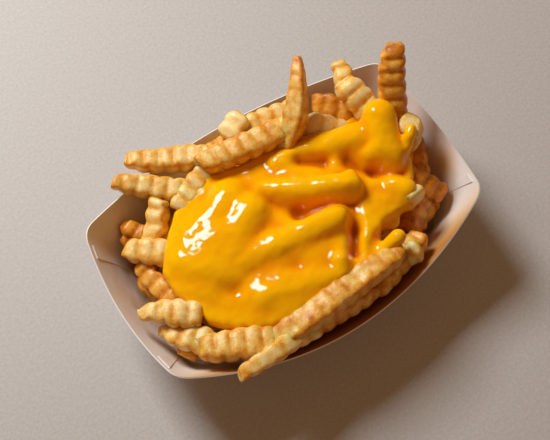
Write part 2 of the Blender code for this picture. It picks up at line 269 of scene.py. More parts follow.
def coated_board(name, strongest_stain_and_shade):
    material, tree, shader, place = start_material(name)
    split = add_node(tree, "ShaderNodeSeparateXYZ", {"Vector": place})
    low = remap(tree, split.outputs["Z"], 0.010, tray_high.z * 0.95, strongest_stain_and_shade, 0.0)
    soak = noise_of_size(tree, place, 16.0, 3.0, 0.6)
    patches = combine(tree, "MULTIPLY", low, remap(tree, soak, 0.42, 0.66))
    # The near side: partly a fat stain and partly painted shade and reflected colour of the
    # fries.
    near = remap(tree, split.outputs["Y"], -0.036, -0.052, 0.0, strongest_stain_and_shade)
    # A painted reflection of the fries on the right end wall, fading out over about a centimetre.
    away = add_node(tree, "ShaderNodeVectorMath", {
        0: place, 1: PAINTED_REFLECTION_PLACE}, operation="DISTANCE")
    painted_reflection = remap(tree, away.outputs["Value"], 0.003, 0.014, strongest_stain_and_shade * 0.75, 0.0)
    fat_shade_and_reflection = combine(tree, "MAXIMUM", patches, combine(tree, "MAXIMUM", painted_reflection, near),
                     clamp=True)
    colour = ramp_between(tree, fat_shade_and_reflection, (
        (0.0, "#EBE2DC"), (0.35, "#E3CDB6"), (0.75, "#CC9A58"), (1.0, "#B4702A")))
    tree.links.new(colour, shader.inputs["Base Color"])
    fibre = noise_of_size(tree, place, 0.5, 3.0, 0.6)
    add_bump(tree, shader, fibre, 0.2, 0.1)
    shader.inputs["Roughness"].default_value = 0.62
    shader.inputs["IOR"].default_value = 1.45
    return material


board_skin = coated_board("clay_coated_paperboard", 0.0)
greasy_and_shaded_board = coated_board("greasy_and_shaded_clay_coated_paperboard", 0.95)
print("made", board_skin.name, greasy_and_shaded_board.name)


# %% [markdown]
# ## The tray
# One blank of board makes the tray: a flat base, two long sides that bow outwards, and two
# ends. Each long side carries a flap at both ends, which is glued inside the end wall. The
# rim dips in the middle of the long sides. A loft does this: a ring of points is placed at
# the base by a rule, copied up the wall in steps to the bowed rim, and solidify gives the
# board its thickness.

# %% Outline of a ring of the tray
RIM = dict(half_length=86.0, half_width=43.0, side_bow=20.5, end_bow=5.3,
           corner_height=50.0, side_dip=17.5, end_dip=7.0, cut=6.0)
BASE = dict(half_length=68.0, half_width=28.0, side_bow=13.0, end_bow=0.0,
            corner_height=0.0, side_dip=0.0, end_dip=0.0, cut=9.0)
SIDE_STEPS, END_STEPS, CORNER_STEPS = 40, 20, 6
BOARD = 0.7


def wall_point(ring, side, t):
    """Point of a ring on wall 0 near, 1 right, 2 far or 3 left, with t from -1 to 1."""
    bulge = 1.0 - t * t
    if side in (0, 2):
        sign = 1 if side == 0 else -1
        return Vector((sign * t * ring["half_length"],
                       -sign * (ring["half_width"] + ring["side_bow"] * bulge),
                       ring["corner_height"] - ring["side_dip"] * bulge))
    sign = 1 if side == 1 else -1
    return Vector((sign * (ring["half_length"] + ring["end_bow"] * bulge),
                   sign * t * ring["half_width"],
                   ring["corner_height"] - ring["end_dip"] * bulge))


def ring_outline(ring):
    """Points of a ring in order, with its four corners rounded."""
    points = []
    for side in range(4):
        steps = SIDE_STEPS if side in (0, 2) else END_STEPS
        half = ring["half_length"] if side in (0, 2) else ring["half_width"]
        next_half = ring["half_width"] if side in (0, 2) else ring["half_length"]
        reach = 1.0 - ring["cut"] / half
        for step in range(steps + 1):
            points.append(wall_point(ring, side, reach * (2.0 * step / steps - 1.0)))
        before, tip = points[-1], wall_point(ring, side, 1.0)
        after = wall_point(ring, (side + 1) % 4, -(1.0 - ring["cut"] / next_half))
        for step in range(1, CORNER_STEPS):
            t = step / CORNER_STEPS
            points.append(before * (1 - t) ** 2 + tip * (2 * t * (1 - t)) + after * t ** 2)
    return points


rim_outline = ring_outline(RIM)
base_outline = ring_outline(BASE)
print("points round the tray", len(rim_outline))


# %% Loft the tray and give the board its thickness
def tray_bmesh(levels=14):
    """Base and walls as one sheet, lofted from the base's ring to the rim's."""
    bm = bmesh.new()
    made = bmesh.ops.create_circle(bm, segments=len(base_outline), radius=1.0)
    ring = made["verts"]
    for vert, point in zip(ring, base_outline):
        vert.co = point * MM
    bmesh.ops.contextual_create(bm, geom=ring)
    edges = list(bm.edges)
    for level in range(1, levels + 1):
        made = bmesh.ops.extrude_edge_only(bm, edges=edges)
        edges = [item for item in made["geom"] if isinstance(item, bmesh.types.BMEdge)]
        new_ring = [item for item in made["geom"] if isinstance(item, bmesh.types.BMVert)]
        share = level / levels
        order = {}
        for vert in new_ring:
            below = next(e.other_vert(vert) for e in vert.link_edges if e not in edges)
            order[vert] = ring.index(below)
        new_ring.sort(key=order.get)
        for vert, low, high in zip(new_ring, base_outline, rim_outline):
            vert.co = low.lerp(high, share) * MM
        ring = new_ring
    bmesh.ops.recalc_face_normals(bm, faces=bm.faces)
    return bm


tray = add_piece("tray_board", tray_bmesh(), board_skin, "tray")
shell = tray.modifiers.new("board", "SOLIDIFY")
shell.thickness = BOARD * MM
shell.offset = -1.0
shell.use_even_offset = True
shell.material_offset = 1
tray.data.materials.append(greasy_and_shaded_board)
bake_modifiers(tray)
tray.data.set_sharp_from_angle(angle=math.radians(40))


# %% [markdown]
# A flap runs from each end of the long sides and is glued inside the end wall, so each end
# wall shows one slanting edge of board near either corner. A flap is a four-cornered sheet
# that lies a little more than a board's thickness inside the wall. It starts where the
# corner's rounding ends, so that no part of it comes out through the bend: a grid is laid
# over the wall's own points, cut short along a slanting line, and given its thickness.

# %% Flaps glued inside the end walls
FLAP_STEPS = 12
FLAP_GAP = 1.1
FLAP_THICKNESS = 0.45
FLAP_BOTTOM, FLAP_TOP = 0.12, 0.955     # shares of the wall's height
FLAP_ROOT, ROOT_GAIN = 0.67, 0.18       # where the rounding ends, as shares of the half width
REACH_FROM = 0.93
NARROWEST_FLAP = 0.02


def wall_place(side, t, share):
    """Place on a wall at a share of its height."""
    return wall_point(BASE, side, t).lerp(wall_point(RIM, side, t), share)


def add_flap(bm, side, corner, reach_low, reach_high):
    """Flap on end wall 1 or 3 from its corner, -1 or 1, reaching furthest at the rim."""
    made = bmesh.ops.create_grid(bm, x_segments=FLAP_STEPS, y_segments=FLAP_STEPS, size=1.0)
    inward = Vector((-1 if side == 1 else 1, 0, 0.3)).normalized()
    for vert in made["verts"]:
        across, up = (vert.co.x + 1) / 2, (vert.co.y + 1) / 2
        share = FLAP_BOTTOM + (FLAP_TOP - FLAP_BOTTOM) * up
        fold = FLAP_ROOT + ROOT_GAIN * share
        free_edge = min(fold - NARROWEST_FLAP,
                        REACH_FROM - reach_low - (reach_high - reach_low) * up)
        place = wall_place(side, corner * (fold + (free_edge - fold) * across), share)
        vert.co = (place + inward * FLAP_GAP) * MM


flap_bm = bmesh.new()
for side, corner, reach_low, reach_high in ((3, -1, 0.10, 0.24), (3, 1, 0.08, 0.28),
                                            (1, -1, 0.17, 0.21), (1, 1, 0.08, 0.14)):
    add_flap(flap_bm, side, corner, reach_low, reach_high)
flaps = add_piece("tray_flaps", flap_bm, greasy_and_shaded_board, "tray")
sheet = flaps.modifiers.new("board", "SOLIDIFY")
sheet.thickness = FLAP_THICKNESS * MM
sheet.offset = 0.0
bake_modifiers(flaps)
flaps.data.set_sharp_from_angle(angle=math.radians(40))


# %% [markdown]
# ## One crinkle-cut fry
# A crinkle blade cuts the potato into sticks of about 12 mm whose faces are waves with a
# pitch near 7 mm: round crests with narrow grooves between them. A cube makes the stick.
# Its edges are divided, so that a point sits about every millimetre, and then each point is
# moved: the square section is rounded, the ends are thinned, every face gets its wave with
# its own phase, noise roughens it, and the whole stick is bowed upwards and sideways. The
# same points get their browning and their painted groove shade, because here it is known
# where the grooves, the cut edges and the tips are. Every fry has its own seed, so no two
# are alike and a rerun gives the same.

# %% Measures of a fry
RIDGE_PITCH = 7.2 * MM
LEAST_RIDGE, MOST_RIDGE = 1.1, 1.5      # depths in millimetres
GROOVE_SHARPNESS = 0.65
MEAN_WAVE = 0.6
FRY_FLATNESS = 0.92
END_TAPER = 0.22
TIP_REACH = 0.6
MOST_PINCH = 0.22
MOST_END_TILT = 0.12
LEAST_POWER, MOST_POWER = 3.6, 6.0      # how square the section is
MOST_SWAY, MOST_WAVER = 1.2, 0.5        # sideways bends in millimetres
LONG_FRY = 0.05
LUMP, ROUGHNESS, CRUMB = 9 * MM, 3.2 * MM, 1.4 * MM
POINT_STEP = 0.9 * MM
ACROSS_CUTS = 8
CUT_END_BROWNING = 0.06
print("ridge depth in mm", LEAST_RIDGE, "to", MOST_RIDGE)


# %% Stick with a wave
def turned_along(start, end, roll):
    """Frame whose X runs from start to end and whose Z stays as near upright as it can."""
    along = (end - start).normalized()
    across = Vector((0, 0, 1)).cross(along)
    across = across.normalized() if across.length > 0.1 else Vector((0, 1, 0))
    turn = Matrix((along, across, along.cross(across))).transposed()
    return turn @ Matrix.Rotation(math.radians(roll), 3, "X")


def ridge_wave(distance, phase):
    """From 0 in a narrow groove to 1 on a round crest."""
    return abs(math.sin(math.pi * (distance / RIDGE_PITCH + phase))) ** GROOVE_SHARPNESS


def divided_stick(steps_along, steps_across):
    """Cube from -0.5 to 0.5 whose faces are grids."""
    bm = bmesh.new()
    bmesh.ops.create_cube(bm, size=1.0)
    for axis, steps in ((0, steps_along), (1, steps_across), (2, steps_across)):
        edges = [edge for edge in bm.edges
                 if abs(edge.verts[0].co[axis] - edge.verts[1].co[axis]) > 0.5]
        bmesh.ops.subdivide_edges(bm, edges=edges, cuts=steps - 1, use_grid_fill=True)
    return bm


# %% What makes one fry different
def fry_traits(spec, seed):
    """Measures of a fry in metres, with the chances that its seed gives."""
    start, end, width, bow, roll, tip, tone, crag, *extra = spec
    start, end = mm(start), mm(end)
    draw = random.Random(seed)
    fry = SimpleNamespace(
        width=width * MM, bow=bow * MM, tip=tip, tone=tone, crag=crag,
        length=(end - start).length, middle=(start + end) / 2,
        turn=turned_along(start, end, roll))
    fry.phases = [draw.random() for side in range(4)]
    fry.depth = draw.uniform(LEAST_RIDGE, MOST_RIDGE) * MM * (1.0 - 0.35 * crag)
    fry.sway = draw.uniform(-MOST_SWAY, MOST_SWAY) * MM * min(1.0, fry.length / LONG_FRY)
    if extra:
        fry.sway = extra[0] * MM
    if len(extra) > 1:
        fry.depth *= extra[1]
    fry.waver = draw.uniform(-MOST_WAVER, MOST_WAVER) * MM
    fry.power = draw.uniform(LEAST_POWER, MOST_POWER)
    fry.offset = Vector((draw.uniform(-1, 1), draw.uniform(-1, 1), draw.uniform(-1, 1)))
    fry.pinch = [draw.uniform(0.0, MOST_PINCH) for side in range(2)]
    fry.tilt = [draw.uniform(-MOST_END_TILT, MOST_END_TILT) for side in range(4)]
    return fry


def fry_taper(fry, share):
    """Share of its full width that a fry has, with share from -1 to 1 along it."""
    taper = fry.tip + (1.0 - fry.tip) * min(1.0, (share + 1.0) / 2 / TIP_REACH)
    taper *= 1.0 - END_TAPER * abs(share) ** 8
    taper *= 1.0 - fry.pinch[0 if share < 0 else 1] * abs(share) ** 3
    return taper


# %% Move and paint one point of a fry
def place_point(fry, place):
    """Where a point of the stick goes, and its crust value, with painted shade in grooves."""
    share, y, z = 2.0 * place.x, 2.0 * place.y, 2.0 * place.z
    rim = max(abs(y), abs(z))
    if rim > 0:
        rounding = (abs(y) ** fry.power + abs(z) ** fry.power) ** (-1.0 / fry.power) * rim
        y, z = y * rounding, z * rounding
    side = 0 if share > 0 else 2
    tilt = fry.tilt[side] * y + fry.tilt[side + 1] * z
    along = share * fry.length / 2 + abs(share) ** 6 * tilt * fry.width
    wave_y = ridge_wave(along, fry.phases[0] if y > 0 else fry.phases[1])
    wave_z = ridge_wave(along, fry.phases[2] if z > 0 else fry.phases[3])
    half = fry.width / 2 * fry_taper(fry, share)
    point = Vector((along,
                    y * half + y * abs(y) ** 2 * (wave_y - MEAN_WAVE) * fry.depth,
                    z * half * FRY_FLATNESS
                    + z * abs(z) ** 2 * (wave_z - MEAN_WAVE) * fry.depth))
    lump = noise.noise(point / LUMP + fry.offset * 7)
    rough = noise.noise(point / ROUGHNESS + fry.offset * 13)
    crumb = noise.noise(point / CRUMB + fry.offset * 29)
    outward = Vector((0.25 * share, y, z)).normalized() if rim > 0 else Vector((share, 0, 0))
    point += outward * (lump * (0.35 + 0.9 * fry.crag) + rough * (0.16 + 0.55 * fry.crag)
                        + crumb * (0.07 + 0.14 * fry.crag)) * MM
    bend = 1.0 - share * share
    point.y += fry.sway * bend + fry.waver * math.sin(math.pi * share * 1.5)
    placed = fry.middle + fry.turn @ point + Vector((0, 0, fry.bow * bend))
    if abs(share) > 0.999 and rim < 0.85 and fry.tip > 0.95:
        return placed, CUT_END_BROWNING
    # Grooves are painted darker than crests, which is painted shade; edges, tips and noise add
    # real browning.
    crest = (wave_y * y * y + wave_z * z * z) / max(0.2, y * y + z * z)
    edge = min(1.0, max(0.0, (abs(y * z) - 0.45) / 0.4))
    browning_and_groove_shade = (0.24 - 0.24 * crest ** 1.5 + 0.18 * edge * crest + 0.18 * abs(share) ** 14
                + 0.34 * lump * (0.5 + 0.4 * fry.crag) + 0.20 * rough)
    return placed, max(0.0, browning_and_groove_shade)


# %% Make one fry and a pile of them
def make_fry(spec, seed, step=POINT_STEP, across=ACROSS_CUTS):
    """Fry as a bmesh, and the crust colours of its points, painted groove shade included."""
    fry = fry_traits(spec, seed)
    bm = divided_stick(max(12, round(fry.length / step)), across)
    paint = []
    for vert in bm.verts:
        vert.co, browning_and_groove_shade = place_point(fry, vert.co.copy())
        paint.append((browning_and_groove_shade, fry.tone, 0.0, 1.0))
    bmesh.ops.recalc_face_normals(bm, faces=bm.faces)
    return bm, paint


def pile_of_fries(name, specs, first_seed, node_name=None, **sizes):
    """Many fries as one piece, with their crust colours and painted groove shade on its points.
    """
    pile = bmesh.new()
    paint = []
    for number, spec in enumerate(specs):
        bm, colours = make_fry(spec, first_seed + number, **sizes)
        single = bpy.data.meshes.new("single_fry")
        bm.to_mesh(single)
        bm.free()
        pile.from_mesh(single)
        bpy.data.meshes.remove(single)
        paint += colours
    piece = add_piece(name, pile, crust, node_name)
    crust_paint = piece.data.color_attributes.new("crust", "FLOAT_COLOR", "POINT")
    crust_paint.data.foreach_set("color", [value for colour in paint for value in colour])
    return piece


# %% [markdown]
# ## The fries that show
# Each fry lies where the photograph shows it. A line gives its two ends in millimetres, its
# width, how far it bows upwards, its roll in degrees, the share of its width at the start,
# how dark it was fried, from about -0.15 for pale to 0.4 for brown, and how craggy its crust
# is from 0 to 1. A few lines add how far the fry bows sideways, and a factor for its ridges.

# %% Fries over the far rim and at the left end
FAR_FRIES = (
    ((-50, 64, 49), (-13, 44, 49), 11.5, -2, 0, 0.8, 0.06, 0.1),
    ((-61, 58, 49), (-32, 36, 44), 11, -2, 8, 0.8, 0.06, 0.1),
    ((-42, 30, 44), (-17, 42, 45), 11, 0, 10, 1, 0.02, 0.1),
    ((-22, 41, 53), (31, 34, 53), 13, 1, 5, 0.9, 0.17, 0.15),
    ((-2, 50, 45), (10, 55, 47), 12, 0, 0, 1, -0.12, 0.0),
    ((8, 51, 42), (38, 46, 42), 12, 0, 20, 1, 0.02, 0.0),
    ((43, 56, 74), (15.5, 26.5, 46), 10.5, 4, 20, 0.45, 0.14, 0.0, 4.2, 0.35),  # tall slender
    ((46, 45, 42), (64, 24, 44), 12, 0, 30, 1, 0.36, 0.3),
    ((66, 52, 55), (60, 32, 51), 10, 0, 0, 0.7, 0.05, 0.0),
    ((58, 38, 62), (63, 18, 52), 13, 1, 10, 1, 0.0, 0.1),
    ((84, 33, 80), (71, 4, 36), 13, 4, 10, 0.9, 0.30, 0.1, -2.6, 1.35),         # tall brown
    ((75.5, 2.5, 58), (66, -3, 34), 12.5, 0, 0, 1, -0.02, 0.0),
    ((33, 35, 51), (52, 19, 43), 11, 0, 35, 1, -0.14, 0.5),
    ((-46, 41, 44), (-61, 26, 36), 9.5, 0, 20, 1, 0.04, 0.1, 1.8),
    ((-70, 38, 31), (-60, 26, 30), 9, 0, 30, 0.8, 0.36, 0.4),
    ((-67, 42, 35), (-60, 30, 30), 9, 0, 0, 0.8, 0.36, 0.4),
    ((-73, 28, 39), (-54, 12, 40), 13, 0, 10, 0.8, 0.06, 0.1),
    ((-72, 17, 24), (-66, 0, 26), 11, 2, 10, 0.9, 0.35, 0.2),
    ((-70, 20, 34), (-66, -8, 33), 10, 1, 20, 1, 0.22, 0.1),
    ((24, 52, 34), (-20, 50, 34), 12, 0, 20, 1, 0.25, 0.1),
    ((66, 38, 36), (60, 12, 34), 12, 0, 20, 1, 0.36, 0.3),
)
far_fries = pile_of_fries("fries_far_and_left", FAR_FRIES, 100, "fries")

# %% Fries along the near rim and at the right end
NEAR_FRIES = (
    ((50, 14, 31), (80, 21, 38), 12, 0, 15, 1, 0.36, 0.4),
    ((48, -4, 30), (78, -10, 31), 12, 0, -10, 1, 0.36, 0.4),
    ((57.5, -29.5, 48.5), (50, -16, 44), 11.5, 0, 20, 1, -0.08, 0.1),
    ((36, -46, 46), (-41, -51, 42), 13, 3, 5, 0.8, 0.17, 0.75, 0.5, 0.55),
    ((-70, -34, 41), (-35, -51, 41), 14, 2, 0, 0.9, 0.10, 0.0),
    ((-80, -16, 38), (-60, -37, 39), 12, 1, 0, 0.5, 0.02, 0.1),
    ((-84, -4, 42), (-60, -22, 42), 13, 1, 5, 0.5, 0.0, 0.1),
    ((-76, -31, 32), (-60, -22, 32), 10, 0, 0, 1, 0.20, 0.2),
    ((-61, -57, 49), (-16, -54, 37), 9, 3, 15, 0.8, 0.02, 0.1),
    ((51, -43, 37), (17, -53, 35), 11, 0, 20, 1, 0.16, 0.5),
    ((18, -52, 34), (-24, -51, 34), 12, 0, 20, 1, 0.18, 0.3),
    ((46, -50, 40), (34, -44, 36), 10, 0, 10, 1, 0.02, 0.1),
    ((73, -24, 27), (55, -33, 27), 11, 0, 20, 1, 0.36, 0.5),
    ((70, -20, 32), (48, -36, 30), 12, 0, 40, 1, 0.36, 0.6),
    ((59, -32, 24), (36, -38, 24), 11, 0, 10, 1, 0.40, 0.4),
    ((62, -12, 42), (74, -28, 31), 12, 0, 15, 1, 0.42, 0.6),
    ((79, 10, 42), (68, -18, 37), 12, 0, 20, 1, 0.38, 0.5),
)
near_fries = pile_of_fries("fries_near_and_right", NEAR_FRIES, 200, "fries")


# %% [markdown]
# ## The heap below
# Below the fries that show lie many more, and between them it is dark. A mound fills the
# tray as the measured heap does, a few millimetres lower, in a darker copy of the fried
# potato whose brown is painted shade for the dark gaps. Short fries drawn by a seeded rule
# lie tangled over it, so that every gap shows fries and shadow from any side. A drawn fry
# that would come out through the tray is moved inwards, or left out.

# %% Inside of the tray, and the mound
CORE_LEVELS = ((1.2, 0.90), (10.0, 0.90), (19.0, 0.86), (26.0, 0.79), (32.0, 0.70),
               (37.0, 0.58), (41.0, 0.42), (43.0, 0.22))
CORE_SEGMENTS = 72
CORE_SQUARENESS = 2.6


def tray_inside(height, bearing):
    """Place in millimetres at a height near the tray's inner wall, towards a bearing."""
    t = math.cos(bearing)
    bulge = 1.0 - t * t
    share = height / (RIM["corner_height"] - RIM["side_dip"] * bulge)
    half_length = BASE["half_length"] + (RIM["half_length"] - BASE["half_length"]) * share
    base_width = BASE["half_width"] + BASE["side_bow"] * bulge
    rim_width = RIM["half_width"] + RIM["side_bow"] * bulge
    half_width = base_width + (rim_width - base_width) * share
    power = CORE_SQUARENESS
    reach = (abs(t) ** power + abs(math.sin(bearing)) ** power) ** (-1.0 / power)
    return Vector((half_length * t * reach, half_width * math.sin(bearing) * reach, height))


def make_mound():
    """Rounded mound, lofted through the levels and closed at both ends."""
    bm = bmesh.new()
    made = bmesh.ops.create_circle(bm, segments=CORE_SEGMENTS, radius=1.0)
    ring = made["verts"]
    bmesh.ops.contextual_create(bm, geom=ring)
    edges = list(bm.edges)
    for level, (height, share) in enumerate(CORE_LEVELS):
        for step, vert in enumerate(ring):
            place = tray_inside(height, 2.0 * math.pi * step / CORE_SEGMENTS)
            vert.co = mm((place.x * share, place.y * share, height))
        if level == len(CORE_LEVELS) - 1:
            bmesh.ops.contextual_create(bm, geom=ring)
            break
        made = bmesh.ops.extrude_edge_only(bm, edges=edges)
        edges = [item for item in made["geom"] if isinstance(item, bmesh.types.BMEdge)]
        above = {}
        for vert in (item for item in made["geom"] if isinstance(item, bmesh.types.BMVert)):
            for edge in vert.link_edges:
                if edge.other_vert(vert) in ring:
                    above[edge.other_vert(vert)] = vert
        ring = [above[vert] for vert in ring]
    bmesh.ops.triangulate(bm, faces=[face for face in bm.faces if len(face.verts) > 4])
    bmesh.ops.recalc_face_normals(bm, faces=bm.faces)
    return bm


# The heap's darker crust colour is painted shade for the gaps deep in the heap.
shaded_heap_crust = fried_potato("fried_potato_painted_shade_in_the_heap", pale="#B9812F")
mound = add_piece("heap_core", make_mound(), shaded_heap_crust, "fries")


# %% Short fries tangled over the mound
MOST_MOVES = 25
PLACE_SPREAD, HEADING_SPREAD, MOST_SLOPE, MOST_ROLL = 0.4, 0.7, 0.3, 35
WALL_MARGIN = 0.8           # in fry widths


def tangled_fries(seed, count, shares, heights, lengths, widths):
    """Lines for short fries round the mound, leaving out any that would not fit."""
    draw = random.Random(seed)
    specs = []
    for number in range(count):
        bearing = 2.0 * math.pi * (number + draw.uniform(-PLACE_SPREAD, PLACE_SPREAD)) / count
        height = draw.uniform(*heights)
        width = draw.uniform(*widths)
        middle = tray_inside(height, bearing) * draw.uniform(*shares)
        middle.z = height
        heading = bearing + math.pi / 2 + draw.uniform(-HEADING_SPREAD, HEADING_SPREAD)
        half = draw.uniform(*lengths) / 2
        slope = draw.uniform(-MOST_SLOPE, MOST_SLOPE)
        along = Vector((math.cos(heading), math.sin(heading), slope)) * half
        ends = middle - along, middle + along
        shift = Vector((-middle.x, -middle.y, 0)).normalized()
        for move in range(MOST_MOVES):
            if all(inside_tray(place, width * WALL_MARGIN) for place in ends):
                break
            ends = ends[0] + shift, ends[1] + shift
        else:
            continue
        specs.append((*ends, width, 0, draw.uniform(-MOST_ROLL, MOST_ROLL), 1.0,
                      draw.uniform(0.1, 0.5), draw.uniform(0.0, 0.5)))
    return specs


def inside_tray(place, margin):
    """True where a place in millimetres keeps a margin to the tray's walls and floor."""
    if place.z < BOARD + margin:
        return False
    bulge = 1.0 - min(1.0, abs(place.x) / RIM["half_length"]) ** 2
    share = min(1.0, place.z / (RIM["corner_height"] - RIM["side_dip"] * bulge))
    half_length = BASE["half_length"] + (RIM["half_length"] - BASE["half_length"]) * share
    side = 1.0 - min(1.0, abs(place.x) / half_length) ** 2
    base_width = BASE["half_width"] + BASE["side_bow"] * side
    half_width = base_width + (RIM["half_width"] + RIM["side_bow"] * side - base_width) * share
    return abs(place.y) < half_width - margin and abs(place.x) < half_length - margin


low_fries = pile_of_fries(
    "fries_low_in_the_heap",
    tangled_fries(11, 22, (0.76, 0.84), (13, 26), (24, 42), (10, 11.5))
    + tangled_fries(5, 18, (0.55, 0.76), (27, 34), (20, 34), (9.5, 11)),
    400, "fries", step=1.2 * MM, across=6)


# %% [markdown]
# ## The cheese
# Poured cheese sauce settles into a blanket a few millimetres thick that follows the fries
# under it: it bulges over each fry, sinks between them and ends in thick rounded edges. It
# is made in the order in which it pours. An even sheet is cut to the outline of the blanket
# and laid at the height of the heap, broad domes go where the sauce lies thickest, and long
# round-ended forms coat the fries under it. A voxel remesh melts it all into one skin, which
# smoothing then settles.

# %% Outline of the blanket and the height of its bed
BLANKET_OUTLINE = (
    (-26, 38), (-4, 33), (9, 32), (21, 30), (29, 29), (44, 25), (57, 24), (64, 27), (71, 25),
    (75, 20), (74, 12), (68, 1), (68, -8), (62, -16), (58, -22), (47, -30), (39, -30),
    (20, -36), (10, -40), (2, -46), (-8, -49), (-24, -48), (-38, -44), (-51, -35), (-59, -27),
    (-60, -21), (-62, -12), (-66, -3), (-65, 5), (-59, 14), (-54, 20), (-46, 29), (-39, 32),
)
BLANKET_THICKNESS = 10.0
SHEET_REACH = 80
GRID_STEP = 2.5
print("points on the outline", len(BLANKET_OUTLINE))


def inside_outline(x, y, outline):
    """True where a line from the place crosses the outline an odd number of times."""
    within = False
    for (ax, ay), (bx, by) in zip(outline, outline[1:] + outline[:1]):
        if (ay > y) != (by > y) and x < ax + (y - ay) / (by - ay) * (bx - ax):
            within = not within
    return within


def bed_height(x, y):
    """Height in millimetres of the middle of the sauce over a place."""
    away = x - 12
    return 47.5 - 0.0010 * away * away - (0.0010 if y < 0 else 0.0021) * y * y


# %% Forms under the sauce, in millimetres: start, end, radius at the start and at the end
COATED_FORMS = (
    # coated fry at the right, with its blunt near end
    ((64, 14, 57), (59, 2, 53), 9.3, 8.6),
    ((51, 0, 52), (58, -8, 52), 5.2, 5.2),
    ((55, 1, 54), (60, -4, 54), 6.2, 5.8),
    # ridge at the far side, with two drips on its near face
    ((12, 23, 47), (50, 13, 50), 7.5, 8.5),
    ((14, 24, 50), (12, 19, 45), 4.5, 4.0),
    ((38, 14, 51), (34, 6, 46), 4.0, 4.0),
    # ridge in the middle, with its square end
    ((-3, 14, 47), (31, -8, 54), 7.0, 7.4),
    ((35, -3.5, 56), (33, -11, 54), 3.4, 3.6),
    # ridge towards the left, and rounded masses at the left and the near side
    ((17, -17, 51), (-14, -14, 47), 8.2, 9.0),
    ((-14, -13, 46), (-44, -11, 41), 10.5, 11),
    ((-12, -40, 43.5), (-26, -39, 43), 8.5, 8.5),
    ((-19, 20, 44), (-51, 5, 40), 12, 13),
    ((-15, 8, 45), (-44, -9, 40), 13, 13),
    ((-2, -38, 44.5), (-30, -31, 43.5), 9.5, 10),
    ((-30, -31, 41), (-50, -17, 40), 10, 9.5),
    # small knob at the near side
    ((7, -36, 53), (5, -41, 49), 4.3, 5.0),
    # masses that run down at the right
    ((55, -8, 45), (47, -20, 42), 8.5, 7.5),
    ((43, -8, 44), (33, -24, 37), 8.5, 7.5),
    ((41, -20, 46), (53, -26, 46), 6.5, 6.0),
    ((35, -24, 43), (42, -31, 42), 5.0, 4.0),
    ((49, -14, 45), (57, -11, 45), 6.5, 6.0),
    ((64, -8, 47), (60, -16, 46), 4.5, 4.5),
    ((52, -18, 48), (54.5, -22.5, 50), 7.0, 6.2),
    # strip on the pale round end
    ((72, -1, 60), (69, -4, 59), 3.4, 3.2),
    ((67.8, -5.7, 56), (64, -7, 50), 3.0, 3.2),
    # blob and strand by the long near fry's tip
    ((18, -36, 38), (23, -39, 38), 3.4, 2.8),
    ((22, -42, 44), (37, -41, 51), 2.8, 4.4),
)
print("coated forms", len(COATED_FORMS))


def add_dome(bm, centre, half_length, half_width, half_height, turn):
    """Flattened sphere lying level, turned in degrees."""
    spun = Matrix.Rotation(math.radians(turn), 4, "Z")
    flat = Matrix.Diagonal((half_length, half_width, half_height, 1.0))
    bmesh.ops.create_uvsphere(bm, u_segments=32, v_segments=16, radius=1.0,
                              matrix=Matrix.Translation(centre) @ spun @ flat)


def add_form(bm, start, end, start_radius, end_radius):
    """Round-ended form: a sphere whose two halves are drawn apart to their own radii."""
    turn = turned_along(start, end, 0) @ Matrix.Rotation(math.radians(90), 3, "Y")
    length = (end - start).length
    made = bmesh.ops.create_uvsphere(bm, u_segments=24, v_segments=16, radius=1.0)
    for vert in made["verts"]:
        first = vert.co.z < 0
        radius = start_radius if first else end_radius
        local = vert.co * radius
        local.z += -length / 2 if first else length / 2
        vert.co = (start + end) / 2 + turn @ local


# %% Broad domes where the sauce lies thickest: middle, half sizes and turn in degrees
BROAD_DOMES = (
    ((-33, 3, 43), 34, 27, 12.5, 32),
    ((-8, -28, 43), 42, 23, 11.0, -4),
    ((24, 10, 44), 34, 20, 10, -20),
    ((54, 4, 44), 20, 22, 11, 0),
)
print("broad domes", len(BROAD_DOMES))


# %% Pour the sauce
def poured_sauce():
    """Cut sheet, coated forms and broad domes in one bmesh, not yet melted together."""
    bm = bmesh.new()
    steps = 2 * round(SHEET_REACH / GRID_STEP)
    bmesh.ops.create_grid(bm, x_segments=steps, y_segments=steps, size=SHEET_REACH * MM)
    outside = [face for face in bm.faces if not inside_outline(
        face.calc_center_median().x / MM, face.calc_center_median().y / MM, BLANKET_OUTLINE)]
    bmesh.ops.delete(bm, geom=outside, context="FACES")
    half = BLANKET_THICKNESS / 2 * MM
    for vert in bm.verts:
        vert.co.z = bed_height(vert.co.x / MM, vert.co.y / MM) * MM + half
    made = bmesh.ops.extrude_face_region(bm, geom=list(bm.faces))
    for item in made["geom"]:
        if isinstance(item, bmesh.types.BMVert):
            item.co.z -= 2 * half
    bmesh.ops.recalc_face_normals(bm, faces=bm.faces)
    for start, end, start_radius, end_radius in COATED_FORMS:
        add_form(bm, mm(start), mm(end), start_radius * MM, end_radius * MM)
    for centre, half_length, half_width, half_height, turn in BROAD_DOMES:
        add_dome(bm, mm(centre), half_length * MM, half_width * MM, half_height * MM, turn)
    return bm


sauce = add_piece("cheese_blanket", poured_sauce(), cheese_skin, "cheese_sauce")
melt = sauce.modifiers.new("melt", "REMESH")
melt.mode = "VOXEL"
melt.voxel_size = 0.9 * MM
settle = sauce.modifiers.new("settle", "SMOOTH")
settle.factor = 0.6
settle.iterations = 30
bake_modifiers(sauce)
print("sauce", len(sauce.data.polygons), "faces")


# %% [markdown]
# Where two coated fries lie apart, the sauce sags into a sharp crease between them. The
# creases are pressed into the skin along the lines that the photograph shows, deepest on
# the line and fading out over a few millimetres, and a light smoothing rounds them off.

